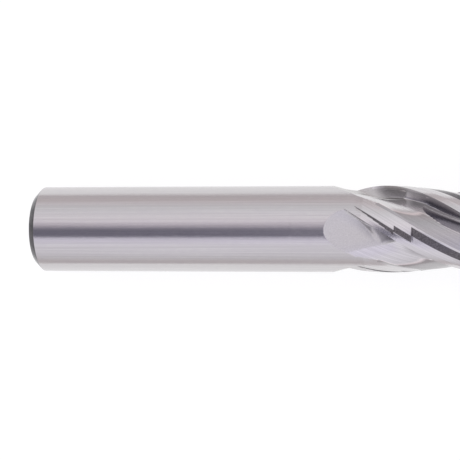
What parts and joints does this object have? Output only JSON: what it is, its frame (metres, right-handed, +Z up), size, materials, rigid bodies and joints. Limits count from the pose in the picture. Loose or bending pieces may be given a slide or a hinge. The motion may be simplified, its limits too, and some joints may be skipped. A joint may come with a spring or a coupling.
{
  "type": "end mill",
  "caption": "Square-ended milling cutter with right-hand helical flutes, relieved lands and end teeth on a plain cylindrical shank, as a cutting head welded to a shank.",
  "frame": {"origin": "centre of the shank's back face, on the tool axis", "axes": "+X along the tool axis, from the shank's back face to the cutting end; +Z up with the tool lying down"},
  "size_m": [0.083, 0.012, 0.012],
  "materials": {
    "shank_steel": "centreless-ground steel",
    "head_steel": "ground and fluted high-speed steel"
  },
  "bodies": {
    "root": {"shank": "shank_steel", "cutting_head": "head_steel"}
  },
  "joints": []
}
